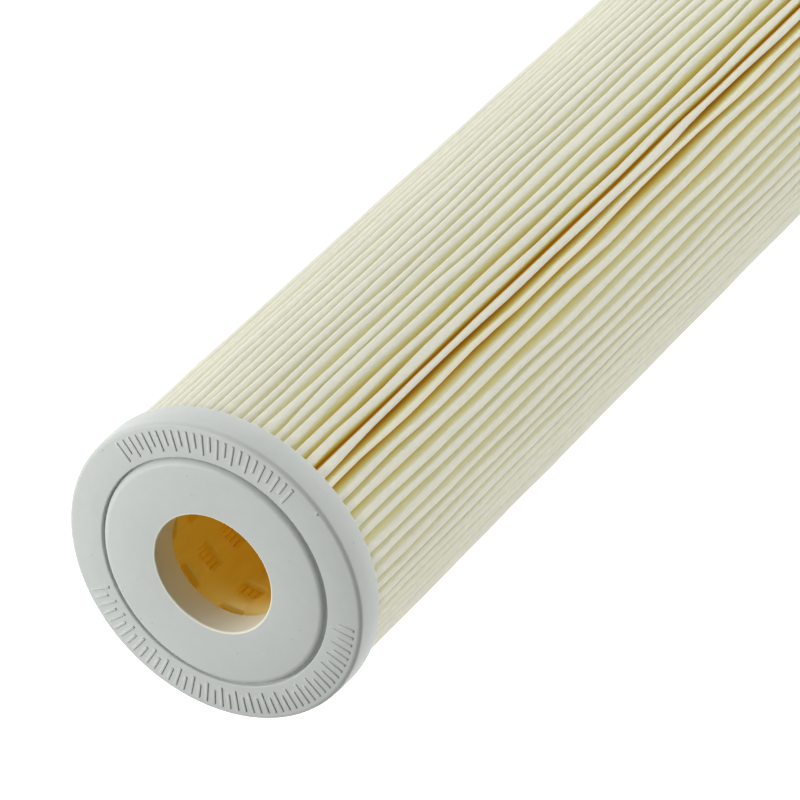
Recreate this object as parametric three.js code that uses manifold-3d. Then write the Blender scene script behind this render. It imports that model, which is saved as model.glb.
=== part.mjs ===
// Pleated filter cartridge: a ring of pleated paper round a perforated core
// tube, its side seam closed by an adhesive strip, and both ends potted in
// moulded soft end caps with an open bore.
// Millimetres, +Z up, standing on its lower cap, axis on Z, origin at the
// centre of the lower sealing face.

import * as THREE from 'three';
import { mergeVertices } from 'three/addons/utils/BufferGeometryUtils.js';
import Module from 'manifold-3d';

// ---- driving dimensions ----
const LENGTH = 247.65; // sealing face to sealing face, 9-3/4 in
const CAP_R = 34.25; // end cap outside radius
const BORE_R = 13.5; // end cap bore radius, for a 27 mm spigot
const CAP_H = 7.3; // height of the cap's outer skirt
const LIP_H = 6.8; // height of the cap's inner lip, inside the core
const SEAL_T = 2.6; // thickness of the cap over the potted ends
const SKIRT_T = 0.75; // wall of the outer skirt
const LIP_T = 0.5; // wall of the inner lip
const FIT = 0.3; // clearance between touching pieces

// face of the cap: flat sealing plateau, groove, then a lower outer ring
const GROOVE_FOOT_R = 25.9;
const GROOVE_WALL_ROUND = 1.5;
const GROOVE_STEPS = 3;
const RING_IN_R = 26.25;
const RING_DROP = 0.4;
const RIM_ROUND = 1.0;
const SKIRT_DRAFT = 0.15;
const SKIRT_DRAFT_RUN = 2.4;
const RIM_STEPS = 4;
const BORE_CHAMFER = 0.4;
const CAP_SIDES = 48;

// core tube and its windows
const CORE_SIDES = 24; // three facets to a window column
const CORE_IN_R = (BORE_R + LIP_T + FIT) / Math.cos(Math.PI / CORE_SIDES);
const CORE_T = 1.6;
const CORE_OUT_R = CORE_IN_R + CORE_T;
const CORE_TURN = THREE.MathUtils.degToRad(33); // first window column, from +X
const WINDOW_COLUMNS = 8;
const WINDOW_W = 5.6;
const WINDOW_H = 4.4;
const WINDOW_PITCH = 8.95;
const CORE_END_BAND = 2.1; // plain band left at each end of the tube

// pleated paper
const PAPER_T = 0.42;
const PLEATS = 76; // the last of them is the seam fin
const MEDIA_IN_R = CORE_OUT_R + FIT;
const MEDIA_OUT_R = CAP_R - SKIRT_T - FIT;
const CREST_HALF_W = 0.8; // half width of a pleat's outer fold
const CREST_ROUND = 0.5;
const FOLD_HALF_W = 0.08; // half width of the slot at a pleat's inner fold
const FOLD_ROUND = 0.2;
const SEAM_ANGLE = THREE.MathUtils.degToRad(-96.3);
const SEAM_HALF_W = 0.5; // half of the space between the two seam flanks
const SEAM_FOLD_OFFSET = 1.12; // from the seam plane to the first inner fold
// the pleats crowd together and spread in three waves round the ring
const WAVES = 3;
const CREST_SWING = THREE.MathUtils.degToRad(3.2);
const FOLD_SWING = THREE.MathUtils.degToRad(2.4);
const WAVE_START = THREE.MathUtils.degToRad(7.5);

// seam adhesive
const GLUE_T = 0.4;
const GLUE_IN_R = MEDIA_IN_R + 0.9;
const GLUE_OUT_R = MEDIA_OUT_R - 0.5;

const POTTED_LOW = SEAL_T + FIT;
const POTTED_LENGTH = LENGTH - 2 * POTTED_LOW;

// ---- materials ----
const vinyl = new THREE.MeshStandardMaterial({ color: 0xc9cfcc, roughness: 0.55, metalness: 0 });
const paper = new THREE.MeshStandardMaterial({ color: 0xe2ddbe, roughness: 0.9, metalness: 0 });
const corePlastic = new THREE.MeshStandardMaterial({ color: 0xd9a441, roughness: 0.45, metalness: 0 });
const glue = new THREE.MeshStandardMaterial({ color: 0xd8c98f, roughness: 0.4, metalness: 0 });

const model = new THREE.Group();

function addPart(name, geometry, material) {
  const mesh = new THREE.Mesh(geometry, material);
  mesh.name = name;
  model.add(mesh);
  return mesh;
}

// ---- solids, for the cuts ----
const wasm = await Module();
wasm.setup();

function toSolid(geometry) {
  const bare = geometry.index ? geometry.toNonIndexed() : geometry.clone();
  bare.deleteAttribute('normal');
  bare.deleteAttribute('uv');
  const merged = mergeVertices(bare, 1e-4);
  return new wasm.Manifold(new wasm.Mesh({
    numProp: 3,
    vertProperties: new Float32Array(merged.attributes.position.array),
    triVerts: new Uint32Array(merged.index.array),
  }));
}

function toGeometry(solid) {
  const mesh = solid.getMesh();
  const geometry = new THREE.BufferGeometry();
  geometry.setAttribute('position', new THREE.BufferAttribute(mesh.vertProperties, 3));
  geometry.setIndex(new THREE.BufferAttribute(mesh.triVerts, 1));
  geometry.computeVertexNormals();
  return geometry;
}

// A closed profile of [radius, height] points, turned about Z.
function turned(profile, sides) {
  const points = profile.map(([radius, height]) => new THREE.Vector2(radius, height));
  points.push(points[0].clone());
  const geometry = new THREE.LatheGeometry(points, sides);
  geometry.rotateX(Math.PI / 2);
  return geometry;
}

// ---- end caps ----
// The cap's section with its sealing face at height 0 and its skirt above it:
// both caps come from the same mould.
function capSection() {
  const pocketIn = BORE_R + LIP_T;
  const pocketOut = CAP_R - SKIRT_T;
  const grooveCentreR = GROOVE_FOOT_R - GROOVE_WALL_ROUND;
  const rimCentreR = CAP_R - SKIRT_DRAFT - RIM_ROUND;
  const rimCentreH = RING_DROP + RIM_ROUND;
  const section = [
    [BORE_R, LIP_H],
    [BORE_R, BORE_CHAMFER],
    [BORE_R + BORE_CHAMFER, 0],
  ];
  for (let step = 0; step <= GROOVE_STEPS; step += 1) {
    const turn = (step / GROOVE_STEPS) * (Math.PI / 2);
    section.push([
      grooveCentreR + GROOVE_WALL_ROUND * Math.sin(turn),
      GROOVE_WALL_ROUND * (1 - Math.cos(turn)),
    ]);
  }
  section.push(
    [RING_IN_R, GROOVE_WALL_ROUND],
    [RING_IN_R, RING_DROP],
  );
  for (let step = 0; step <= RIM_STEPS; step += 1) {
    const turn = (step / RIM_STEPS) * (Math.PI / 2);
    section.push([
      rimCentreR + RIM_ROUND * Math.sin(turn),
      rimCentreH - RIM_ROUND * Math.cos(turn),
    ]);
  }
  section.push(
    [CAP_R, rimCentreH + SKIRT_DRAFT_RUN],
    [CAP_R, CAP_H],
    [pocketOut, CAP_H],
    [pocketOut, SEAL_T],
    [pocketIn, SEAL_T],
    [pocketIn, LIP_H],
  );
  return section;
}

function endCap() {
  return turned(capSection(), CAP_SIDES);
}

// ---- core tube ----
// Each cutter goes right across the tube, so it makes two windows at once.
function coreTube() {
  const wall = turned([
    [CORE_IN_R, 0],
    [CORE_OUT_R, 0],
    [CORE_OUT_R, POTTED_LENGTH],
    [CORE_IN_R, POTTED_LENGTH],
  ], CORE_SIDES);
  const usable = POTTED_LENGTH - 2 * CORE_END_BAND - WINDOW_H;
  const rows = Math.floor(usable / WINDOW_PITCH) + 1;
  const first = (POTTED_LENGTH - (rows - 1) * WINDOW_PITCH) / 2;
  let tube = toSolid(wall);
  for (let row = 0; row < rows; row += 1) {
    for (let column = 0; column < WINDOW_COLUMNS / 2; column += 1) {
      const cutter = new THREE.BoxGeometry(4 * CORE_OUT_R, WINDOW_W, WINDOW_H);
      cutter.rotateZ((column / WINDOW_COLUMNS) * 2 * Math.PI);
      cutter.translate(0, 0, first + row * WINDOW_PITCH);
      tube = tube.subtract(toSolid(cutter));
    }
  }
  return toGeometry(tube);
}

// ---- pleated paper ----
// A point given by its angle round the ring, its distance sideways from that
// radius, and its distance out from the axis.
function place(angle, sideways, outward) {
  return new THREE.Vector2(
    outward * Math.cos(angle) - sideways * Math.sin(angle),
    outward * Math.sin(angle) + sideways * Math.cos(angle),
  );
}

// How far the crowding moves a pleat, as a share of the swing; none at the seam.
function wave(evenAngle) {
  return Math.sin(WAVES * (evenAngle + WAVE_START)) - Math.sin(WAVES * WAVE_START);
}

// Outer fold 1 is the first after the seam; the seam itself is fold 0.
function crestAngle(index) {
  const even = (index / PLEATS) * 2 * Math.PI;
  return SEAM_ANGLE + even + CREST_SWING * wave(even);
}

// Inner fold 0 lies between the seam and outer fold 1.
function foldAngle(index) {
  const start = SEAM_FOLD_OFFSET / MEDIA_IN_R;
  const step = (2 * Math.PI - 2 * start) / (PLEATS - 1);
  const even = ((index + 0.5) / PLEATS) * 2 * Math.PI;
  return SEAM_ANGLE + start + index * step + FOLD_SWING * wave(even);
}

// The sheet's two faces, each as one line from the seam round to the seam.
function mediaOutline() {
  const outside = [place(SEAM_ANGLE, SEAM_HALF_W + PAPER_T, MEDIA_OUT_R)];
  const inside = [place(SEAM_ANGLE, SEAM_HALF_W, MEDIA_OUT_R)];
  for (let index = 0; index < PLEATS; index += 1) {
    const fold = foldAngle(index);
    const foldBack = FOLD_HALF_W + PAPER_T;
    outside.push(place(fold, -FOLD_HALF_W, MEDIA_IN_R + PAPER_T));
    outside.push(place(fold, FOLD_HALF_W, MEDIA_IN_R + PAPER_T));
    inside.push(place(fold, -foldBack, MEDIA_IN_R + FOLD_ROUND));
    inside.push(place(fold, -FOLD_HALF_W, MEDIA_IN_R));
    inside.push(place(fold, FOLD_HALF_W, MEDIA_IN_R));
    inside.push(place(fold, foldBack, MEDIA_IN_R + FOLD_ROUND));
    if (index === PLEATS - 1) continue;
    const crest = crestAngle(index + 1);
    const shoulder = MEDIA_OUT_R - CREST_ROUND;
    const inner = CREST_HALF_W - PAPER_T;
    outside.push(place(crest, -CREST_HALF_W, shoulder));
    outside.push(place(crest, -CREST_HALF_W / 2, MEDIA_OUT_R));
    outside.push(place(crest, CREST_HALF_W / 2, MEDIA_OUT_R));
    outside.push(place(crest, CREST_HALF_W, shoulder));
    inside.push(place(crest, -inner, shoulder));
    inside.push(place(crest, inner, shoulder));
  }
  outside.push(place(SEAM_ANGLE, -SEAM_HALF_W - PAPER_T, MEDIA_OUT_R));
  inside.push(place(SEAM_ANGLE, -SEAM_HALF_W, MEDIA_OUT_R));
  return outside.concat(inside.reverse());
}

function pleatedMedia() {
  const sheet = new THREE.Shape(mediaOutline());
  return new THREE.ExtrudeGeometry(sheet, { depth: POTTED_LENGTH, bevelEnabled: false, steps: 1 });
}

// ---- side seam ----
function seamStrip() {
  const reach = GLUE_OUT_R - GLUE_IN_R;
  return new THREE.BoxGeometry(reach, GLUE_T, POTTED_LENGTH);
}

// ---- assembly ----
const lowerCap = addPart('lower_end_cap', endCap(), vinyl);
lowerCap.position.set(0, 0, 0);

const upperCap = addPart('upper_end_cap', endCap(), vinyl);
upperCap.position.set(0, 0, LENGTH);
upperCap.rotation.set(Math.PI, 0, 0);

const core = addPart('core_tube', coreTube(), corePlastic);
core.position.set(0, 0, POTTED_LOW);
core.rotation.set(0, 0, CORE_TURN);

const media = addPart('pleated_media', pleatedMedia(), paper);
media.position.set(0, 0, POTTED_LOW);

const seam = addPart('seam_adhesive', seamStrip(), glue);
const seamMiddle = place(SEAM_ANGLE, 0, (GLUE_IN_R + GLUE_OUT_R) / 2);
seam.position.set(seamMiddle.x, seamMiddle.y, LENGTH / 2);
seam.rotation.set(0, 0, SEAM_ANGLE);

export default model;
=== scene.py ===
"""Looks for a pleated filter cartridge: potted vinyl end caps, pleated paper,
a perforated core tube and the adhesive in the paper's side seam.

Everything is in metres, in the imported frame: the cartridge stands on its lower
cap with its axis on Z. Angles round the ring are measured from +X.
"""

import math
import random

import bmesh
import bpy
from bpy.props import FloatProperty, FloatVectorProperty, IntProperty, PointerProperty
from mathutils import Matrix, Vector, noise


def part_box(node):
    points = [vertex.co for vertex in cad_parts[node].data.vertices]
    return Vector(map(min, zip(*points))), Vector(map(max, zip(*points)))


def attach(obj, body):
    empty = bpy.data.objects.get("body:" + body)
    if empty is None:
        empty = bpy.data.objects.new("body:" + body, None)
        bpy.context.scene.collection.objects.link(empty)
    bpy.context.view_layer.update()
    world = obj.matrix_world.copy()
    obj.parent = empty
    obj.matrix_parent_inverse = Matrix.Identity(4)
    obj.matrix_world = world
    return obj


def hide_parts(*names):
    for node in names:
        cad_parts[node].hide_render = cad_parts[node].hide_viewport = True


bl_info = {
    "name": "Pleated Filter Cartridge",
    "version": (1, 0, 0),
    "blender": (4, 5, 0),
    "location": "3D View > Sidebar > Cartridge",
    "description": "Models a potted pleated-paper filter cartridge round its packed frame",
    "category": "Object",
}

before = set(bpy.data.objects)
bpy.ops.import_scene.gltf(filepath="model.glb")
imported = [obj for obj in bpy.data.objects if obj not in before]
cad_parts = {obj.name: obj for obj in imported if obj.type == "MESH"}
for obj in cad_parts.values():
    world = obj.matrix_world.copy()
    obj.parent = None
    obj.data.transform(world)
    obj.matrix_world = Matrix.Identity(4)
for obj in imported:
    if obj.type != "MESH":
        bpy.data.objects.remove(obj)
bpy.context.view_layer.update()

MM = 0.001
BODY = "root"
WHITE = (1.0, 1.0, 1.0, 1.0)
FIT = 0.3 * MM  # gap between the core and the paper
MERGE_DISTANCE = 1e-6

# ---- sizes taken from the frame ----
CAP_LOW, CAP_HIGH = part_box("upper_end_cap")
CORE_LOW, CORE_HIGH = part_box("core_tube")
MEDIA_LOW, MEDIA_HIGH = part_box("pleated_media")
LENGTH = CAP_HIGH.z
CAP_RADIUS = CAP_HIGH.x
CAP_HEIGHT = CAP_HIGH.z - CAP_LOW.z
CORE_OUTER = CORE_HIGH.x
MEDIA_OUTER = max(MEDIA_HIGH.x, MEDIA_HIGH.y)
MEDIA_INNER = CORE_OUTER + FIT

# ---- small sizes in the cap's section ----
SPIN_STEPS = 160
GROOVE_FOOT_ROUND = 0.15 * MM
RING_EDGE_ROUND = 0.35 * MM
HEEL_ROUND = 0.3 * MM
SKIRT_WALL = 1.15 * MM
POTTING_DROP = 0.45 * MM
MENISCUS_RUN = 0.45 * MM
MENISCUS_END = 0.1 * MM
LIP_FOOT = 0.5 * MM
LIP_WALL = 0.35 * MM
LIP_TAPER = 0.1 * MM

# ---- raised marks, and the nib that the mould's vent leaves ----
MARK_ARCS = ((8.5, 90.0), (146.0, 298.5))  # degrees, each from its start to its end
MARK_PITCH = 3.25  # degrees
MARK_STAGGER = 1.2 * MM
MARK_SUNK = 0.2 * MM
MARK_EDGE = 0.14 * MM
NIB_ANGLE = math.radians(100.0)
NIB_INSET = 1.2 * MM
NIB_SUNK = 0.08 * MM
NIB_RADIUS = 0.34 * MM

# ---- core tube ----
CORE_TURN = math.radians(33.0)
CORE_END_BANDS = 8.6 * MM
CORE_EDGE = 0.12 * MM
WALL_PARTS = 4
# Painted pool of key light on one side of the tube near its ends: its side, where it starts and where it is
# full in from each end, and its spread.
LIT_PATCH_SIDE = (-0.87, 0.5, 0.0)
LIT_PATCH_START = 17.0 * MM
LIT_PATCH_END = 9.0 * MM
LIT_PATCH_SPREAD = (0.35, 0.85)  # shares of the tube's radius

# ---- how the pleats crowd and spread round the ring ----
SEAM_ANGLE = math.radians(-96.3)
WAVES = 3
CREST_SWING = math.radians(3.2)
FOLD_SWING = math.radians(2.4)
WAVE_START = math.radians(7.5)

# ---- how single folds differ from each other ----
CREST_RISE = 0.62 * MM
CREST_SHARPNESS = 0.85
CREST_STEPS = 8
INNER_FOLD_STEPS = 4
FLANK_POINTS = 3
CREST_TURN_SCATTER = math.radians(0.28)
CREST_RADIUS_SCATTER = 0.28 * MM
CREST_WIDTH_SCATTER = (0.9, 1.12)
SCATTER_SEED = 11
SEAM_GAP = 0.14 * MM
SEAM_DROP = 0.3 * MM
SEAM_FOOT = 0.95 * MM
GLUE_FOOT = 1.2 * MM

# ---- light that soaks into the folds: share of the pleat's depth from the inside, and its colour ----
PAPER_GLOW = (
    (0.04, (0.128, 0.066, 0.002)),
    (0.10, (0.070, 0.034, 0.001)),
    (0.40, (0.088, 0.054, 0.004)),
    (0.62, (0.100, 0.084, 0.022)),
    (0.81, (0.092, 0.087, 0.045)),
    (0.90, (0.060, 0.058, 0.034)),
    (1.00, (0.0, 0.0, 0.0)),
)

# ---- how the folds stray along the paper: busyness round the ring, height of a bend, start ----
SHEET_STEPS = 27
QUICK_STRAY = (13.0, 24 * MM, 0.0)
SLOW_STRAY = (2.2, 95 * MM, 9.0)
DIP_STRAY = (9.0, 18 * MM, 31.0)
QUICK_TURN = math.radians(1.15)
SLOW_TURN = math.radians(1.4)
CREST_SINK = 0.10 * MM
CREST_DIP = 0.16 * MM

# ---- camera, key light, floor and room ----
LENS = 256.8
SENSOR_WIDTH = 36.0
CAMERA_PLACE = Vector((-0.83 * MM, -822.7 * MM, LENGTH + 781.5 * MM))
CAMERA_RIGHT = Vector((-0.6920, -0.5201, -0.5005))
CAMERA_FORWARD = Vector((0.0, 0.6934, -0.7205))
KEY_FROM = Vector((0.48, 0.28, 0.83))
KEY_DISTANCE = 0.22
KEY_SIZE = 0.12
FLOOR_FADE = (-0.3, 0.5)
FLOOR_DIM = 0.95
DARK_CORNER = Vector((-0.60, -0.50, 0.62))
DARK_SPREAD = (0.1, 0.75)  # cosines of the angle from the dark corner


# ======================================================================
# Settings
# ======================================================================

def length_setting(name, description, millimetres):
    """A length in the panel, with its first value given in millimetres."""
    return FloatProperty(
        name=name, description=description, default=millimetres * MM,
        unit="LENGTH", subtype="DISTANCE", precision=5,
    )


def colour_setting(name, description, rgb):
    """A colour in the panel, with its first value given as red, green and blue."""
    return FloatVectorProperty(
        name=name, description=description, default=(*rgb, 1.0),
        size=4, min=0.0, max=1.0, subtype="COLOR",
    )


class CartridgeCapSettings(bpy.types.PropertyGroup):
    bore_radius: length_setting("Bore radius", "Radius of the open bore", 13.5)
    bore_round: length_setting("Bore rounding", "Rounding of the bore's mouth", 0.4)
    groove_radius: length_setting("Groove radius", "Foot of the sealing face's rounded edge", 25.9)
    groove_depth: length_setting("Groove depth", "Depth of the groove below the sealing face", 1.5)
    ring_radius: length_setting("Ring radius", "Inside of the lower outer ring", 26.25)
    ring_drop: length_setting("Ring drop", "Outer ring below the sealing face", 0.4)
    rim_round: length_setting("Rim rounding", "Rounding of the outer rim", 1.0)
    skirt_draft: length_setting("Skirt draft", "How much the skirt widens below the rim", 0.15)
    skirt_run: length_setting("Skirt run", "Depth over which the skirt widens", 2.4)
    lip_height: length_setting("Lip height", "How far the cap lines the core", 6.8)
    vinyl_colour: colour_setting("Vinyl", "Colour of the soft vinyl", (0.615, 0.645, 0.615))
    vinyl_shade: colour_setting("Vinyl shade", "Second tone in the vinyl's mottling", (0.58, 0.61, 0.585))
    # Painted warm light bounced from the amber core and paper onto the bore's wall.
    bore_warm_light_colour: colour_setting("Bore", "Vinyl where the core stains it", (0.85, 0.86, 0.73))
    # Painted highlight along the rounding of the bore's mouth.
    mouth_highlight_colour: colour_setting("Bore edge", "Pale edge of the bore's mouth", (0.86, 0.85, 0.74))
    # The tiny pits are coloured darker than the vinyl around them.
    pit_colour: colour_setting("Pits", "Dust in the vinyl's tiny pits", (0.30, 0.33, 0.32))


class CartridgeMarkSettings(bpy.types.PropertyGroup):
    inner_radius: length_setting("Inner radius", "Inner ends of the raised marks", 27.75)
    outer_radius: length_setting("Outer radius", "Outer ends of the raised marks", 32.5)
    width: length_setting("Width", "Width of one raised mark", 0.62)
    height: length_setting("Height", "Height of the marks above the ring", 0.24)


class CartridgePaperSettings(bpy.types.PropertyGroup):
    pleats: IntProperty(
        name="Pleats", description="Pleat pitches round the ring, with the seam", default=76)
    thickness: length_setting("Paper thickness", "Thickness of the filter paper", 0.42)
    crest_half_width: length_setting("Crest half width", "Half width of an outer fold's middle line", 0.6)
    fold_half_width: length_setting("Fold half width", "Half width of an inner fold's middle line", 0.29)
    # The colours below, by depth, are painted shade and interreflected light down the pleats, over the
    # paper's own cream at the crests.
    crest_colour: colour_setting("Crest", "Paper at the outer folds", (0.83, 0.82, 0.705))
    flank_colour: colour_setting("Flank", "Paper just below the outer folds", (0.82, 0.81, 0.63))
    inner_colour: colour_setting("Inner", "Paper half way down a pleat", (0.80, 0.73, 0.38))
    deep_colour: colour_setting("Deep", "Paper deep between two pleats", (0.64, 0.43, 0.07))
    fleck_colour: colour_setting("Flecks", "Darker fibres scattered in the paper", (0.50, 0.36, 0.14))
    glow: FloatProperty(
        name="Glow", description="Light that soaks through the paper into its folds", default=1.0)


class CartridgeCoreSettings(bpy.types.PropertyGroup):
    wall: length_setting("Wall", "Thickness of the tube's wall", 1.6)
    window_width: length_setting("Window width", "Width of one window round the tube", 5.6)
    window_height: length_setting("Window height", "Height of one window", 4.4)
    window_pitch: length_setting("Window pitch", "Spacing of the rows of windows", 8.95)
    window_round: length_setting("Window rounding", "Corner radius of a window", 1.0)
    columns: IntProperty(name="Columns", description="Windows in one row", default=8)
    # The amber is partly painted light: amber light bounced from the paper, over the plastic's own colour.
    colour: colour_setting("Plastic", "Colour of the core's plastic", (0.66, 0.50, 0.12))
    # Painted light: the paler patch is a pool of key light in the bore, not a colour of the plastic.
    lit_patch_colour: colour_setting("Ends", "Paler patch in the plastic near the tube's ends", (0.80, 0.78, 0.42))
    glow: colour_setting("Glow", "Light that soaks through the plastic", (0.118, 0.060, 0.002))


class CartridgeSeamSettings(bpy.types.PropertyGroup):
    web: length_setting("Web", "Half thickness of the adhesive between the paper's ends", 0.13)
    lap: length_setting("Lap", "Half width of the bead that laps over the paper's ends", 0.62)
    bead_rise: length_setting("Bead rise", "Rise of the bead above the paper's ends", 0.4)
    bead_drop: length_setting("Bead drop", "Foot of the bead below the paper's outer folds", 0.42)
    colour: colour_setting("Adhesive", "Colour of the adhesive", (0.84, 0.81, 0.64))
    shade: colour_setting("Adhesive shade", "Second tone in the adhesive's mottling", (0.80, 0.76, 0.55))


class CartridgeStageSettings(bpy.types.PropertyGroup):
    floor_size: FloatProperty(
        name="Floor size", description="Side of the floor", default=12.0, unit="LENGTH", subtype="DISTANCE")
    floor_colour: colour_setting("Floor", "Colour of the floor", (0.92, 0.92, 0.92))
    floor_glow: FloatProperty(
        name="Floor glow", description="Light that the floor gives off", default=1.24)
    ambient: FloatProperty(
        name="Ambient light", description="Strength of the light from above", default=0.5)
    dark_share: FloatProperty(
        name="Dark corner", description="Share of the ambient light left in the dark corner", default=0.12)
    key_power: FloatProperty(
        name="Key power", description="Power of the key softbox", default=0.38, unit="POWER", subtype="POWER")


# ======================================================================
# Mesh helpers
# ======================================================================

def new_object(name, bm, smooth_angle=None):
    """Puts a finished bmesh into a scene object of its own, shaded smooth below smooth_angle."""
    mesh = bpy.data.meshes.new(name)
    bm.to_mesh(mesh)
    bm.free()
    if smooth_angle is not None:
        mesh.shade_smooth()
        mesh.set_sharp_from_angle(angle=math.radians(smooth_angle))
    piece = bpy.data.objects.new(name, mesh)
    bpy.context.scene.collection.objects.link(piece)
    return piece


def mount(piece, slot, *nodes):
    """Rides a finished piece on the body in place of its CAD nodes."""
    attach(piece, BODY)
    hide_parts(*nodes)


def arc(centre, radius, start, end, steps):
    """Points on a round stretch of an outline; angles in degrees from the +r direction."""
    points = []
    for step in range(steps + 1):
        angle = math.radians(start + (end - start) * step / steps)
        points.append((centre[0] + radius * math.cos(angle), centre[1] + radius * math.sin(angle)))
    return points


def closed_outline(bm, points):
    """A closed loop of edges through (radius, depth) points, in the XZ plane."""
    corners = [bm.verts.new((r, 0.0, d)) for r, d in points]
    edges = [bm.edges.new((a, b)) for a, b in zip(corners, corners[1:] + corners[:1])]
    return corners + edges


def spin_ring(bm, outline, steps):
    """Turns an outline once round the axis, until it meets itself."""
    bmesh.ops.spin(
        bm, geom=outline, cent=(0, 0, 0), axis=(0, 0, 1), angle=2 * math.pi,
        steps=steps, use_merge=True,
    )
    bmesh.ops.remove_doubles(bm, verts=bm.verts[:], dist=MERGE_DISTANCE)
    bmesh.ops.recalc_face_normals(bm, faces=bm.faces[:])


# ======================================================================
# Shader helpers
# ======================================================================

def put(tree, kind, fields=None, **sockets):
    """Adds a node, sets its fields, and fills its inputs with values or links."""
    node = tree.nodes.new(kind)
    for field, value in (fields or {}).items():
        setattr(node, field, value)
    for name, value in sockets.items():
        key = int(name[1:]) if name[0] == "i" and name[1:].isdigit() else name.replace("_", " ")
        socket = node.inputs[key]
        if isinstance(value, bpy.types.NodeSocket):
            tree.links.new(value, socket)
        else:
            socket.default_value = value
    return node


def calculate(tree, operation, first, second=0.0):
    """One step of arithmetic on numbers."""
    return put(tree, "ShaderNodeMath", {"operation": operation}, i0=first, i1=second).outputs[0]


def remap(tree, value, low, high, to_low=0.0, to_high=1.0, kind="LINEAR"):
    """Carries a value from one range to another; SMOOTHSTEP eases in and out."""
    fields = {"interpolation_type": kind}
    return put(
        tree, "ShaderNodeMapRange", fields, i0=value, i1=low, i2=high, i3=to_low, i4=to_high).outputs[0]


def mix_numbers(tree, share, first, second):
    """The first number at share 0 and the second at share 1."""
    return put(
        tree, "ShaderNodeMix", {"data_type": "FLOAT"}, i0=share, i2=first, i3=second).outputs[0]


def mix_colours(tree, share, first, second):
    """The first colour at share 0 and the second at share 1."""
    return put(
        tree, "ShaderNodeMix", {"data_type": "RGBA"}, i0=share, i6=first, i7=second).outputs[2]


def new_group(name, inputs, outputs):
    """An empty shader group: inputs are (name, kind, default) and outputs (name, kind)."""
    group = bpy.data.node_groups.new(name, "ShaderNodeTree")
    for label, kind, default in inputs:
        socket = group.interface.new_socket(label, in_out="INPUT", socket_type=kind)
        if default is not None:
            socket.default_value = default
    for label, kind in outputs:
        group.interface.new_socket(label, in_out="OUTPUT", socket_type=kind)
    return group, group.nodes.new("NodeGroupInput").outputs, group.nodes.new("NodeGroupOutput").inputs


def use_group(tree, group, **sockets):
    """The outputs of a shader group, put to use with the given inputs."""
    return put(tree, "ShaderNodeGroup", {"node_tree": group}, **sockets).outputs


def new_material(name):
    """A new material with its node tree, its Principled shader and the object's own coordinates."""
    material = bpy.data.materials.new(name)
    material.use_nodes = True
    tree = material.node_tree
    shader = tree.nodes["Principled BSDF"]
    coords = tree.nodes.new("ShaderNodeTexCoord").outputs["Object"]
    return material, tree, shader, coords


def mottle_group():
    """Cloudy change from one colour to another, with a finer cloud laid over it."""
    group, given, wanted = new_group(
        "cloudy_mottle",
        [("Vector", "NodeSocketVector", None), ("Scale", "NodeSocketFloat", 60.0),
         ("Fine Share", "NodeSocketFloat", 0.35),
         ("First", "NodeSocketColor", (1, 1, 1, 1)), ("Second", "NodeSocketColor", (0, 0, 0, 1))],
        [("Color", "NodeSocketColor"), ("Mask", "NodeSocketFloat")],
    )
    coarse = put(group, "ShaderNodeTexNoise", Vector=given["Vector"], Scale=given["Scale"], Detail=3.0)
    finer = calculate(group, "MULTIPLY", given["Scale"], 7.0)
    fine = put(group, "ShaderNodeTexNoise", Vector=given["Vector"], Scale=finer, Detail=2.0)
    cloud = mix_numbers(group, given["Fine Share"], coarse.outputs[0], fine.outputs[0])
    spread = remap(group, cloud, 0.32, 0.68)
    colour = mix_colours(group, spread, given["First"], given["Second"])
    group.links.new(colour, wanted["Color"])
    group.links.new(spread, wanted["Mask"])
    return group


def speck_group():
    """Scattered round specks: one in a share of the cells of a loose lattice."""
    group, given, wanted = new_group(
        "scattered_specks",
        [("Vector", "NodeSocketVector", None), ("Scale", "NodeSocketFloat", 250.0),
         ("Radius", "NodeSocketFloat", 0.07), ("Share", "NodeSocketFloat", 0.12)],
        [("Mask", "NodeSocketFloat")],
    )
    cells = put(
        group, "ShaderNodeTexVoronoi", Vector=given["Vector"], Scale=given["Scale"], Randomness=0.9)
    near = remap(group, cells.outputs["Distance"], given["Radius"], 0.0, kind="SMOOTHSTEP")
    pick = put(group, "ShaderNodeSeparateColor", i0=cells.outputs["Color"])
    chosen = calculate(group, "LESS_THAN", pick.outputs[0], given["Share"])
    group.links.new(calculate(group, "MULTIPLY", near, chosen), wanted["Mask"])
    return group


def grain_group():
    """Fine surface height: an even grain over a slow undulation."""
    group, given, wanted = new_group(
        "surface_grain",
        [("Vector", "NodeSocketVector", None), ("Grain Scale", "NodeSocketFloat", 2500.0),
         ("Wave Scale", "NodeSocketFloat", 120.0), ("Wave Share", "NodeSocketFloat", 0.5)],
        [("Height", "NodeSocketFloat")],
    )
    place = given["Vector"]
    grain = put(group, "ShaderNodeTexNoise", Vector=place, Scale=given["Grain Scale"], Detail=2.0)
    waves = put(group, "ShaderNodeTexNoise", Vector=place, Scale=given["Wave Scale"], Detail=1.0)
    height = mix_numbers(group, given["Wave Share"], grain.outputs[0], waves.outputs[0])
    group.links.new(height, wanted["Height"])
    return group


def shared(name, build):
    """The node group of that name, built the first time that it is asked for."""
    return bpy.data.node_groups.get(name) or build()


def radial_share(tree, coords, inner, outer):
    """0 at the inner radius and 1 at the outer, by distance from the axis."""
    flat = put(tree, "ShaderNodeVectorMath", {"operation": "MULTIPLY"}, i0=coords, i1=(1, 1, 0))
    distance = put(tree, "ShaderNodeVectorMath", {"operation": "LENGTH"}, i0=flat.outputs[0])
    return remap(tree, distance.outputs["Value"], inner, outer)


def roughen(tree, shader, height, strength, distance):
    """Raises and lowers a material's surface by a height."""
    bump = put(tree, "ShaderNodeBump", Strength=strength, Distance=distance, Height=height)
    tree.links.new(bump.outputs[0], shader.inputs["Normal"])


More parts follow.
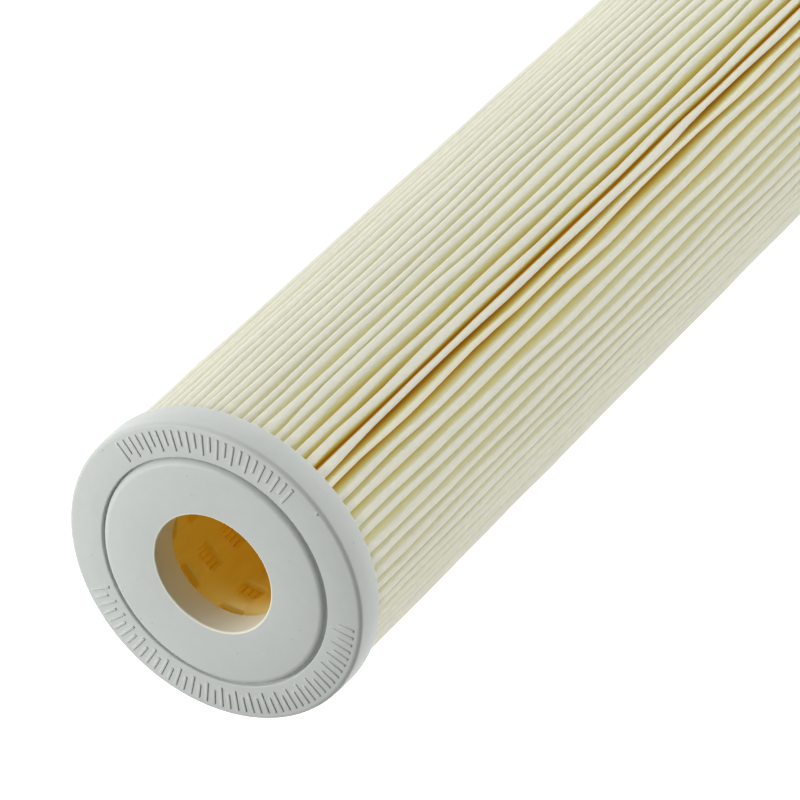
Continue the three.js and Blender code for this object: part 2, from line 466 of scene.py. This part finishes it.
def ramp(tree, share, stops):
    """A colour ramp with the given (position, colour) stops."""
    node = put(tree, "ShaderNodeValToRGB", Fac=share)
    elements = node.color_ramp.elements
    elements[0].position, elements[0].color = stops[0]
    elements[1].position, elements[1].color = stops[-1]
    for position, colour in stops[1:-1]:
        elements.new(position).color = colour
    return node.outputs[0]


# ======================================================================
# Materials
# ======================================================================

def soft_vinyl(settings):
    """Satin moulded vinyl with faint clouding and a few tiny darker pits, with painted warm bounced light on
    the bore's wall and a painted highlight along the bore's mouth.
    """
    material, tree, shader, coords = new_material("soft_vinyl")
    mottle = use_group(
        tree, shared("cloudy_mottle", mottle_group), Vector=coords, Scale=55.0, Fine_Share=0.4,
        First=settings.vinyl_colour, Second=settings.vinyl_shade)
    pits = use_group(
        tree, shared("scattered_specks", speck_group), Vector=coords, Scale=320.0, Radius=0.10, Share=0.65)
    # Painted light in the bore: warm bounced light on its wall and a highlight along the rounding of its
    # mouth.
    mouth = radial_share(tree, coords, settings.bore_radius, settings.bore_radius + settings.bore_round)
    # The pale band across the mouth's rounding is a painted highlight.
    bore = ramp(tree, mouth, (
        (0.62, settings.bore_warm_light_colour),
        (0.88, settings.mouth_highlight_colour),
        (0.96, settings.mouth_highlight_colour),
    ))
    outside = calculate(tree, "GREATER_THAN", mouth, 0.97)
    before_pits = mix_colours(tree, outside, bore, mottle["Color"])
    # Darkens the vinyl's colour inside the tiny pits.
    pit_darkening = calculate(tree, "MULTIPLY", pits["Mask"], 0.55)
    colour = mix_colours(tree, pit_darkening, before_pits, settings.pit_colour)
    tree.links.new(colour, shader.inputs["Base Color"])
    rough = remap(tree, mottle["Mask"], 0.0, 1.0, 0.40, 0.50)
    tree.links.new(rough, shader.inputs["Roughness"])
    grain = use_group(
        tree, shared("surface_grain", grain_group), Vector=coords, Grain_Scale=2600.0, Wave_Scale=140.0,
        Wave_Share=0.55)
    height = calculate(tree, "SUBTRACT", grain["Height"], pits["Mask"])
    roughen(tree, shader, height, 0.22, 0.12 * MM)
    shader.inputs["IOR"].default_value = 1.48
    shader.inputs["Specular IOR Level"].default_value = 0.22
    return material


def filter_paper(settings):
    """Matt resin-treated filter paper, cream at the folds; the amber in the depths is painted shade and
    interreflected light.
    """
    material, tree, shader, coords = new_material("filter_paper")
    share = radial_share(tree, coords, MEDIA_INNER, MEDIA_OUTER)
    # Painted shade and interreflected light: by distance from the axis the cream darkens through olive to
    # amber down between the pleats.
    depth = ramp(tree, share, (
        (0.15, settings.deep_colour),
        (0.62, settings.inner_colour),
        (0.86, settings.flank_colour),
        (0.985, settings.crest_colour),
    ))
    glow = ramp(tree, share, [(place, (*light, 1.0)) for place, light in PAPER_GLOW])
    tree.links.new(glow, shader.inputs["Emission Color"])
    shader.inputs["Emission Strength"].default_value = settings.glow
    fibres = put(tree, "ShaderNodeMapping", Vector=coords, Scale=(1.0, 1.0, 0.35)).outputs[0]
    weave = put(tree, "ShaderNodeTexNoise", Vector=fibres, Scale=1500.0, Detail=3.0, Roughness=0.6)
    tone = remap(tree, weave.outputs[0], 0.3, 0.7, 0.96, 1.03)
    toned = put(tree, "ShaderNodeVectorMath", {"operation": "SCALE"}, i0=depth, Scale=tone)
    flecks = use_group(
        tree, shared("scattered_specks", speck_group), Vector=fibres, Scale=420.0, Radius=0.10, Share=0.06)
    faint = calculate(tree, "MULTIPLY", flecks["Mask"], 0.25)
    colour = mix_colours(tree, faint, toned.outputs[0], settings.fleck_colour)
    tree.links.new(colour, shader.inputs["Base Color"])
    grain = use_group(
        tree, shared("surface_grain", grain_group), Vector=fibres, Grain_Scale=2200.0, Wave_Scale=120.0,
        Wave_Share=0.5)
    roughen(tree, shader, grain["Height"], 0.12, 0.1 * MM)
    shader.inputs["Roughness"].default_value = 0.88
    shader.inputs["Specular IOR Level"].default_value = 0.25
    return material


def core_plastic(settings):
    """Translucent-looking amber plastic with faint moulding streaks along the tube; the amber is partly
    painted interreflected light from the paper, the paler patch near the ends is a painted pool of light, and
    the glow is painted light through the plastic.
    """
    material, tree, shader, coords = new_material("core_plastic")
    streaks = put(tree, "ShaderNodeMapping", Vector=coords, Scale=(1.0, 1.0, 0.2)).outputs[0]
    red, green, blue, _ = settings.colour
    mottle = use_group(
        tree, shared("cloudy_mottle", mottle_group), Vector=streaks, Scale=90.0, Fine_Share=0.3,
        First=settings.colour, Second=(red * 0.86, green * 0.80, blue * 0.7, 1.0))
    # Painted pool of light near both ends on one side of the tube, where the key light falls into the bore.
    height = put(tree, "ShaderNodeSeparateXYZ", Vector=coords).outputs[2]
    off_middle = calculate(tree, "ABSOLUTE", calculate(tree, "SUBTRACT", height, LENGTH / 2))
    near_end = remap(
        tree, off_middle, LENGTH / 2 - LIT_PATCH_START, LENGTH / 2 - LIT_PATCH_END, kind="SMOOTHSTEP")
    across = put(
        tree, "ShaderNodeVectorMath", {"operation": "DOT_PRODUCT"}, i0=coords, i1=LIT_PATCH_SIDE)
    edge, middle = LIT_PATCH_SPREAD
    one_side = remap(
        tree, across.outputs["Value"], CORE_OUTER * edge, CORE_OUTER * middle, kind="SMOOTHSTEP")
    patch = calculate(tree, "MULTIPLY", near_end, one_side)
    colour = mix_colours(tree, patch, mottle["Color"], settings.lit_patch_colour)
    tree.links.new(colour, shader.inputs["Base Color"])
    shader.inputs["Emission Color"].default_value = settings.glow
    shader.inputs["Emission Strength"].default_value = 1.0
    rough = remap(tree, mottle["Mask"], 0.0, 1.0, 0.32, 0.46)
    tree.links.new(rough, shader.inputs["Roughness"])
    grain = use_group(
        tree, shared("surface_grain", grain_group), Vector=streaks, Grain_Scale=1200.0, Wave_Scale=160.0,
        Wave_Share=0.7)
    roughen(tree, shader, grain["Height"], 0.2, 0.1 * MM)
    return material


def seam_glue(settings):
    """Cured hot-melt adhesive: cream, smooth and slightly glossy."""
    material, tree, shader, coords = new_material("seam_glue")
    mottle = use_group(
        tree, shared("cloudy_mottle", mottle_group), Vector=coords, Scale=150.0, Fine_Share=0.5,
        First=settings.colour, Second=settings.shade)
    tree.links.new(mottle["Color"], shader.inputs["Base Color"])
    grain = use_group(
        tree, shared("surface_grain", grain_group), Vector=coords, Grain_Scale=900.0, Wave_Scale=250.0,
        Wave_Share=0.7)
    roughen(tree, shader, grain["Height"], 0.3, 0.2 * MM)
    shader.inputs["Roughness"].default_value = 0.35
    return material


def floor_white(settings):
    """Matt white that gives off light of its own, a little less of it towards +X."""
    material, tree, shader, coords = new_material("floor_white")
    red, green, blue, _ = settings.floor_colour
    mottle = use_group(
        tree, shared("cloudy_mottle", mottle_group), Vector=coords, Scale=1.5, Fine_Share=0.3,
        First=settings.floor_colour, Second=(red * 0.99, green * 0.99, blue * 0.99, 1.0))
    tree.links.new(mottle["Color"], shader.inputs["Base Color"])
    shader.inputs["Roughness"].default_value = 0.9
    shader.inputs["Emission Color"].default_value = WHITE
    side = put(tree, "ShaderNodeSeparateXYZ", Vector=coords).outputs[0]
    glow = remap(
        tree, side, *FLOOR_FADE, settings.floor_glow, settings.floor_glow * FLOOR_DIM, "SMOOTHSTEP")
    tree.links.new(glow, shader.inputs["Emission Strength"])
    return material


# ======================================================================
# End caps
# ======================================================================

def cap_outline(caps):
    """Section of a cap as (radius, depth below its sealing face), all the way round.

    The pocket behind the skirt is full: the vinyl is cast round the paper's ends.
    """
    mouth = caps.bore_round
    wall = caps.groove_depth
    ring = caps.ring_radius
    drop = caps.ring_drop
    rim = caps.rim_round
    heel = CAP_HEIGHT - HEEL_ROUND
    potting = CAP_HEIGHT - POTTING_DROP
    skirt_inside = CAP_RADIUS - SKIRT_WALL
    points = arc((caps.bore_radius + mouth, mouth), mouth, 180, 270, 5)
    points += arc((caps.groove_radius - wall, wall), wall, 270, 355, 10)
    points += arc((ring - GROOVE_FOOT_ROUND, wall), GROOVE_FOOT_ROUND, 90, 20, 3)
    points += arc((ring + RING_EDGE_ROUND, drop + RING_EDGE_ROUND), RING_EDGE_ROUND, 190, 270, 4)
    points += [((ring + CAP_RADIUS) / 2, drop)]
    points += arc((CAP_RADIUS - caps.skirt_draft - rim, drop + rim), rim, 270, 356, 9)
    points += [(CAP_RADIUS, drop + rim + caps.skirt_run)]
    points += arc((CAP_RADIUS - HEEL_ROUND, heel), HEEL_ROUND, 0, 90, 4)
    points += [(skirt_inside + MENISCUS_RUN, CAP_HEIGHT - MENISCUS_END), (skirt_inside, potting)]
    points += [(MEDIA_INNER, potting), (caps.bore_radius + LIP_FOOT, potting + LIP_TAPER)]
    points += [(caps.bore_radius + LIP_WALL, caps.lip_height)]
    points += [(caps.bore_radius, caps.lip_height - LIP_TAPER)]
    return points


def mark_angles():
    """Angles of the raised marks: two arcs of evenly spaced bars."""
    angles = []
    for start, end in MARK_ARCS:
        count = int((end - start) / MARK_PITCH)
        pitch = (end - start) / count
        angles += [math.radians(start + (index + 0.5) * pitch) for index in range(count)]
    return angles


def add_marks(bm, caps, marks):
    """Raised radial bars on the outer ring, long and short in turn."""
    outer = marks.outer_radius
    for index, angle in enumerate(mark_angles()):
        inner = marks.inner_radius + index % 2 * MARK_STAGGER
        middle = ((outer + inner) / 2, 0.0, caps.ring_drop + (MARK_SUNK - marks.height) / 2)
        place = (
            Matrix.Rotation(angle, 4, "Z")
            @ Matrix.Translation(middle)
            @ Matrix.Diagonal((outer - inner, marks.width, marks.height + MARK_SUNK, 1.0))
        )
        bar = bmesh.ops.create_cube(bm, size=1.0, matrix=place)["verts"]
        edges = {edge for vert in bar for edge in vert.link_edges}
        proud = [edge for edge in edges if any(vert.co.z < caps.ring_drop for vert in edge.verts)]
        bmesh.ops.bevel(
            bm, geom=proud, offset=MARK_EDGE, offset_type="OFFSET", affect="EDGES",
            segments=2, profile=0.5, material=-1,
        )


def add_nib(bm, caps):
    """The nib that the mould's vent leaves on the rim."""
    radius = CAP_RADIUS - NIB_INSET
    place = Matrix.Translation((
        radius * math.cos(NIB_ANGLE),
        radius * math.sin(NIB_ANGLE),
        caps.ring_drop + NIB_SUNK,
    ))
    bmesh.ops.create_icosphere(bm, subdivisions=2, radius=NIB_RADIUS, matrix=place)


def build_cap(name, caps, marks, upper):
    """One end cap, standing on its sealing face, then turned over for the upper end."""
    bm = bmesh.new()
    spin_ring(bm, closed_outline(bm, cap_outline(caps)), SPIN_STEPS)
    add_marks(bm, caps, marks)
    add_nib(bm, caps)
    if upper:
        turn = Matrix.Translation((0, 0, LENGTH)) @ Matrix.Rotation(math.pi, 4, "X")
        bmesh.ops.transform(bm, matrix=turn, verts=bm.verts[:])
    bmesh.ops.recalc_face_normals(bm, faces=bm.faces[:])
    return new_object(name, bm, 50)


class CARTRIDGE_OT_end_caps(bpy.types.Operator):
    """Models the two moulded vinyl end caps"""

    bl_idname = "cartridge.end_caps"
    bl_label = "End caps"

    def execute(self, context):
        caps = context.scene.cartridge_caps
        vinyl = soft_vinyl(caps)
        for name, upper in (("lower_end_cap_vinyl", False), ("upper_end_cap_vinyl", True)):
            cap = build_cap(name, caps, context.scene.cartridge_marks, upper)
            cap.data.materials.append(vinyl)
            mount(cap, "cap_vinyl", name.replace("_vinyl", ""))
        return {"FINISHED"}


# ======================================================================
# Core tube
# ======================================================================

def grid_lines(edges, parts):
    """Positions of grid lines: each stretch between neighbouring edges cut into its parts."""
    lines = [edges[0]]
    for low, high, count in zip(edges, edges[1:], parts):
        lines += [low + (high - low) * step / count for step in range(1, count + 1)]
    return lines


def core_lines(core):
    """Edges of the windows in the tube's unrolled wall, and the parts that each stretch is cut into."""
    radius = CORE_OUTER - core.wall
    column = 2 * math.pi * radius / core.columns
    across, around_parts = [0.0], []
    for index in range(core.columns):
        middle = (index + 0.5) * column
        across += [middle - core.window_width / 2, middle + core.window_width / 2]
        around_parts += [WALL_PARTS if index else WALL_PARTS // 2, WALL_PARTS]
    across.append(core.columns * column)
    around_parts.append(WALL_PARTS // 2)
    height = CORE_HIGH.z - CORE_LOW.z
    rows = 1 + int((height - CORE_END_BANDS) / core.window_pitch)
    first = (height - (rows - 1) * core.window_pitch) / 2
    up = [0.0]
    for row in range(rows):
        middle = first + row * core.window_pitch
        up += [middle - core.window_height / 2, middle + core.window_height / 2]
    up.append(height)
    return across, around_parts, up, [1] * (len(up) - 1)


def in_window(value, edges):
    """True inside the odd stretches, which are the windows."""
    for index in range(1, len(edges) - 1, 2):
        if edges[index] < value < edges[index + 1]:
            return True
    return False


def round_window_corners(bm, core, across, up):
    """Rounds the four corners of every window in the flat wall."""
    corners = [
        vert for vert in bm.verts
        if vert.is_boundary
        and min(abs(vert.co.x - edge) for edge in across[1:-1]) < MERGE_DISTANCE
        and min(abs(vert.co.y - edge) for edge in up[1:-1]) < MERGE_DISTANCE
    ]
    bmesh.ops.bevel(
        bm, geom=corners, offset=core.window_round, offset_type="OFFSET", affect="VERTICES",
        segments=3, profile=0.5, material=-1,
    )


class CARTRIDGE_OT_core_tube(bpy.types.Operator):
    """Models the perforated core tube from a flat perforated wall rolled up"""

    bl_idname = "cartridge.core_tube"
    bl_label = "Core tube"

    def execute(self, context):
        core = context.scene.cartridge_core
        across, around_parts, up, up_parts = core_lines(core)
        columns = grid_lines(across, around_parts)
        rows = grid_lines(up, up_parts)
        bm = bmesh.new()
        bmesh.ops.create_grid(bm, x_segments=len(columns) - 1, y_segments=len(rows) - 1, size=0.5)
        for vert in bm.verts:
            column = round((vert.co.x + 0.5) * (len(columns) - 1))
            row = round((vert.co.y + 0.5) * (len(rows) - 1))
            vert.co = (columns[column], rows[row], 0.0)
        holes = []
        for face in bm.faces:
            middle = face.calc_center_median()
            if in_window(middle.x, across) and in_window(middle.y, up):
                holes.append(face)
        bmesh.ops.delete(bm, geom=holes, context="FACES")
        round_window_corners(bm, core, across, up)
        radius = CORE_OUTER - core.wall
        turn = CORE_TURN - math.pi / core.columns
        for vert in bm.verts:
            angle = vert.co.x / radius + turn
            vert.co = (radius * math.cos(angle), radius * math.sin(angle), CORE_LOW.z + vert.co.y)
        bmesh.ops.remove_doubles(bm, verts=bm.verts[:], dist=MERGE_DISTANCE)
        bmesh.ops.recalc_face_normals(bm, faces=bm.faces[:])
        tube = new_object("core_tube_plastic", bm, 35)
        wall = tube.modifiers.new("wall", "SOLIDIFY")
        wall.thickness = core.wall
        wall.offset = 1.0
        edge = tube.modifiers.new("soft_edges", "BEVEL")
        edge.width = CORE_EDGE
        edge.segments = 1
        edge.limit_method = "ANGLE"
        edge.angle_limit = math.radians(50)
        tube.data.materials.append(core_plastic(core))
        mount(tube, "core_plastic", "core_tube")
        return {"FINISHED"}


# ======================================================================
# Pleated paper
# ======================================================================

def wave(even_angle):
    """How far the crowding moves a pleat, as a share of the swing; none at the seam."""
    return math.sin(WAVES * (even_angle + WAVE_START)) - math.sin(WAVES * WAVE_START)


def crest_angle(index, pleats):
    """Angle of an outer fold, counted from the seam."""
    even = 2 * math.pi * index / pleats
    return SEAM_ANGLE + even + CREST_SWING * wave(even)


def fold_angle(index, pleats, start):
    """Angle of an inner fold; the first and last stand at start on the two sides of the seam."""
    step = (2 * math.pi - 2 * start) / (pleats - 1)
    even = 2 * math.pi * (index + 0.5) / pleats
    return SEAM_ANGLE + start + index * step + FOLD_SWING * wave(even)


def round_fold(angle, radius, half_width, rise, steps, sharpness=1.0):
    """Middle line of one fold: half a turn, as (angle, sideways, outward) points."""
    points = []
    for step in range(steps + 1):
        turn = math.pi * (step / steps - 0.5)
        sideways = half_width * math.sin(turn)
        outward = radius - rise * (1.0 - math.cos(turn) ** sharpness)
        points.append((angle, sideways, outward))
    return points


def polar(angle, sideways, outward):
    """The point that lies outward along an angle and then sideways from it."""
    return Vector((
        outward * math.cos(angle) - sideways * math.sin(angle),
        outward * math.sin(angle) + sideways * math.cos(angle),
        0.0,
    ))


def between(first, last, count):
    """Evenly spaced points of the flank from one fold to the next, without its ends."""
    return [polar(*first).lerp(polar(*last), step / (count + 1)) for step in range(1, count + 1)]


def sheet_line(paper, rng):
    """Middle line of the paper from one side of the seam round to the other."""
    half = paper.thickness / 2
    top = MEDIA_OUTER - half
    bottom = MEDIA_INNER + half
    width = paper.fold_half_width
    seam_side = half + SEAM_GAP
    seam_top = top - SEAM_DROP
    folds = [[(SEAM_ANGLE, seam_side, seam_top)]]
    for index in range(paper.pleats):
        angle = fold_angle(index, paper.pleats, SEAM_FOOT / bottom)
        folds.append(round_fold(angle, bottom, width, -width, INNER_FOLD_STEPS))
        if index < paper.pleats - 1:
            scatter = rng.uniform(-CREST_TURN_SCATTER, CREST_TURN_SCATTER)
            angle = crest_angle(index + 1, paper.pleats) + scatter
            radius = top - rng.uniform(0.0, CREST_RADIUS_SCATTER)
            crest = paper.crest_half_width * rng.uniform(*CREST_WIDTH_SCATTER)
            folds.append(round_fold(angle, radius, crest, CREST_RISE, CREST_STEPS, CREST_SHARPNESS))
    folds.append([(SEAM_ANGLE, -seam_side, seam_top)])
    line = [polar(*folds[0][0])]
    for fold, following in zip(folds, folds[1:]):
        line += between(fold[-1], following[0], FLANK_POINTS)
        line += [polar(*point) for point in following]
    return line


def stray(kind, angle, height):
    """Smooth noise over the rolled-up sheet, from -1 to 1."""
    busy, bend, start = kind
    return noise.noise(Vector((busy * math.cos(angle), busy * math.sin(angle), start + height / bend)))


def wander(point, height):
    """A point of the sheet moved round the ring and inward, as the folds stray along their length."""
    angle = math.atan2(point.y, point.x)
    radius = math.hypot(point.x, point.y)
    reach = (radius - MEDIA_INNER) / (MEDIA_OUTER - MEDIA_INNER)
    quick = stray(QUICK_STRAY, angle, height)
    slow = stray(SLOW_STRAY, angle, height)
    dip = stray(DIP_STRAY, angle, height)
    radius -= reach * (CREST_SINK + CREST_DIP * dip)
    angle += reach * (QUICK_TURN * quick + SLOW_TURN * slow)
    return Vector((radius * math.cos(angle), radius * math.sin(angle), height))


def raise_line(bm, corners, edges):
    """Carries a line of edges from the paper's bottom to its top, straying with the folds."""
    rise = (MEDIA_HIGH.z - MEDIA_LOW.z) / SHEET_STEPS
    bmesh.ops.translate(bm, verts=corners, vec=(0, 0, MEDIA_LOW.z))
    for _ in range(SHEET_STEPS):
        made = bmesh.ops.extrude_edge_only(bm, edges=edges)["geom"]
        edges = [item for item in made if isinstance(item, bmesh.types.BMEdge)]
        moved = [item for item in made if isinstance(item, bmesh.types.BMVert)]
        bmesh.ops.translate(bm, verts=moved, vec=(0, 0, rise))
    for vert in bm.verts:
        vert.co = wander(vert.co, vert.co.z)


class CARTRIDGE_OT_pleated_media(bpy.types.Operator):
    """Models the pleated paper as one folded sheet with a live thickness"""

    bl_idname = "cartridge.pleated_media"
    bl_label = "Pleated paper"

    def execute(self, context):
        paper = context.scene.cartridge_paper
        rng = random.Random(SCATTER_SEED)
        bm = bmesh.new()
        corners = [bm.verts.new(point) for point in sheet_line(paper, rng)]
        edges = [bm.edges.new(pair) for pair in zip(corners, corners[1:])]
        raise_line(bm, corners, edges)
        bmesh.ops.recalc_face_normals(bm, faces=bm.faces[:])
        media = new_object("pleated_paper", bm, 60)
        thickness = media.modifiers.new("paper_thickness", "SOLIDIFY")
        thickness.thickness = paper.thickness
        thickness.offset = 0.0
        media.data.materials.append(filter_paper(paper))
        mount(media, "filter_paper", "pleated_media")
        return {"FINISHED"}


class CARTRIDGE_OT_side_seam(bpy.types.Operator):
    """Models the adhesive strip between the sheet's two end flanks"""

    bl_idname = "cartridge.side_seam"
    bl_label = "Side seam"

    def execute(self, context):
        seam = context.scene.cartridge_seam
        web = seam.web
        lap = seam.lap
        inner = MEDIA_INNER + GLUE_FOOT
        bead = MEDIA_OUTER - seam.bead_drop
        outline = [(-web, inner), (web, inner), (web, bead), (lap, bead)]
        outline += [
            (side, bead + (radius - bead) * seam.bead_rise / lap)
            for side, radius in arc((0.0, bead), lap, 20, 160, 7)
        ]
        outline += [(-lap, bead), (-web, bead)]
        bm = bmesh.new()
        corners = [bm.verts.new(polar(SEAM_ANGLE, side, outward)) for side, outward in outline]
        edges = [bm.edges.new(pair) for pair in zip(corners, corners[1:] + corners[:1])]
        raise_line(bm, corners, edges)
        bmesh.ops.holes_fill(bm, edges=bm.edges[:])
        bmesh.ops.recalc_face_normals(bm, faces=bm.faces[:])
        strip = new_object("seam_adhesive_strip", bm, 40)
        strip.data.materials.append(seam_glue(seam))
        mount(strip, "seam_adhesive", "seam_adhesive")
        return {"FINISHED"}


# ======================================================================
# Stage
# ======================================================================

def add_camera():
    """Looks down on the upper cap from in front, rolled so that the body runs to the upper right."""
    data = bpy.data.cameras.new("camera")
    data.sensor_width = SENSOR_WIDTH
    data.lens = LENS
    data.clip_start = 0.05
    data.clip_end = 60.0
    camera = bpy.data.objects.new("camera", data)
    bpy.context.scene.collection.objects.link(camera)
    place = CAMERA_PLACE
    forward = CAMERA_FORWARD.normalized()
    right = (CAMERA_RIGHT - forward * CAMERA_RIGHT.dot(forward)).normalized()
    up = right.cross(forward)
    camera.matrix_world = Matrix((
        (right.x, up.x, -forward.x, place.x),
        (right.y, up.y, -forward.y, place.y),
        (right.z, up.z, -forward.z, place.z),
        (0, 0, 0, 1),
    ))
    bpy.context.scene.camera = camera


def add_softbox(name, aim, direction, distance, size, power):
    """A square softbox at a distance from the point it is aimed at."""
    data = bpy.data.lights.new(name, "AREA")
    data.shape = "SQUARE"
    data.size = size
    data.energy = power
    lamp = bpy.data.objects.new(name, data)
    bpy.context.scene.collection.objects.link(lamp)
    away = direction.normalized()
    lamp.location = Vector(aim) + away * distance
    lamp.rotation_mode = "QUATERNION"
    lamp.rotation_quaternion = away.to_track_quat("Z", "Y")
    lamp.visible_camera = False


def add_world(stage):
    """Soft light from all round, weaker from one corner where the room is dark."""
    world = bpy.data.worlds.new("studio")
    bpy.context.scene.world = world
    world.use_nodes = True
    tree = world.node_tree
    background = tree.nodes["Background"]
    coords = tree.nodes.new("ShaderNodeTexCoord").outputs["Generated"]
    toward = put(
        tree, "ShaderNodeVectorMath", {"operation": "DOT_PRODUCT"},
        i0=coords, i1=DARK_CORNER.normalized())
    level = remap(
        tree, toward.outputs["Value"], *DARK_SPREAD, stage.ambient, stage.ambient * stage.dark_share,
        "SMOOTHSTEP")
    background.inputs["Color"].default_value = WHITE
    tree.links.new(level, background.inputs["Strength"])


class CARTRIDGE_OT_stage(bpy.types.Operator):
    """Sets up the floor, the studio light and the camera"""

    bl_idname = "cartridge.stage"
    bl_label = "Stage"

    def execute(self, context):
        stage = context.scene.cartridge_stage
        bm = bmesh.new()
        bmesh.ops.create_grid(bm, x_segments=8, y_segments=8, size=stage.floor_size / 2)
        floor = new_object("floor", bm)
        floor.data.materials.append(floor_white(stage))
        add_world(stage)
        add_softbox("key", (0.0, 0.0, LENGTH), KEY_FROM, KEY_DISTANCE, KEY_SIZE, stage.key_power)
        add_camera()
        context.scene.view_settings.view_transform = "Standard"
        return {"FINISHED"}


# ======================================================================
# Panel and registration
# ======================================================================

class CARTRIDGE_PT_panel(bpy.types.Panel):
    """Lists the cartridge's settings and pieces"""

    bl_idname = "CARTRIDGE_PT_panel"
    bl_label = "Filter Cartridge"
    bl_space_type = "VIEW_3D"
    bl_region_type = "UI"
    bl_category = "Cartridge"

    def draw(self, context):
        for label, group, operator in STEPS:
            box = self.layout.box()
            box.label(text=label)
            settings = getattr(context.scene, group)
            for name in settings.bl_rna.properties.keys():
                if name not in {"rna_type", "name"}:
                    box.prop(settings, name)
            if operator:
                box.operator(operator)


STEPS = (
    ("Stage", "cartridge_stage", "cartridge.stage"),
    ("Core", "cartridge_core", "cartridge.core_tube"),
    ("Paper", "cartridge_paper", "cartridge.pleated_media"),
    ("Seam", "cartridge_seam", "cartridge.side_seam"),
    ("Marks", "cartridge_marks", None),
    ("Caps", "cartridge_caps", "cartridge.end_caps"),
)

SETTINGS = {
    "cartridge_caps": CartridgeCapSettings,
    "cartridge_marks": CartridgeMarkSettings,
    "cartridge_paper": CartridgePaperSettings,
    "cartridge_core": CartridgeCoreSettings,
    "cartridge_seam": CartridgeSeamSettings,
    "cartridge_stage": CartridgeStageSettings,
}

CLASSES = (
    *SETTINGS.values(),
    CARTRIDGE_OT_end_caps,
    CARTRIDGE_OT_core_tube,
    CARTRIDGE_OT_pleated_media,
    CARTRIDGE_OT_side_seam,
    CARTRIDGE_OT_stage,
    CARTRIDGE_PT_panel,
)


def register():
    for cls in CLASSES:
        bpy.utils.register_class(cls)
    for name, group in SETTINGS.items():
        setattr(bpy.types.Scene, name, PointerProperty(type=group))


def unregister():
    for name in SETTINGS:
        delattr(bpy.types.Scene, name)
    for cls in reversed(CLASSES):
        bpy.utils.unregister_class(cls)


def main():
    register()
    bpy.ops.cartridge.stage()
    bpy.ops.cartridge.core_tube()
    bpy.ops.cartridge.pleated_media()
    bpy.ops.cartridge.side_seam()
    bpy.ops.cartridge.end_caps()


if __name__ == "__main__":
    main()
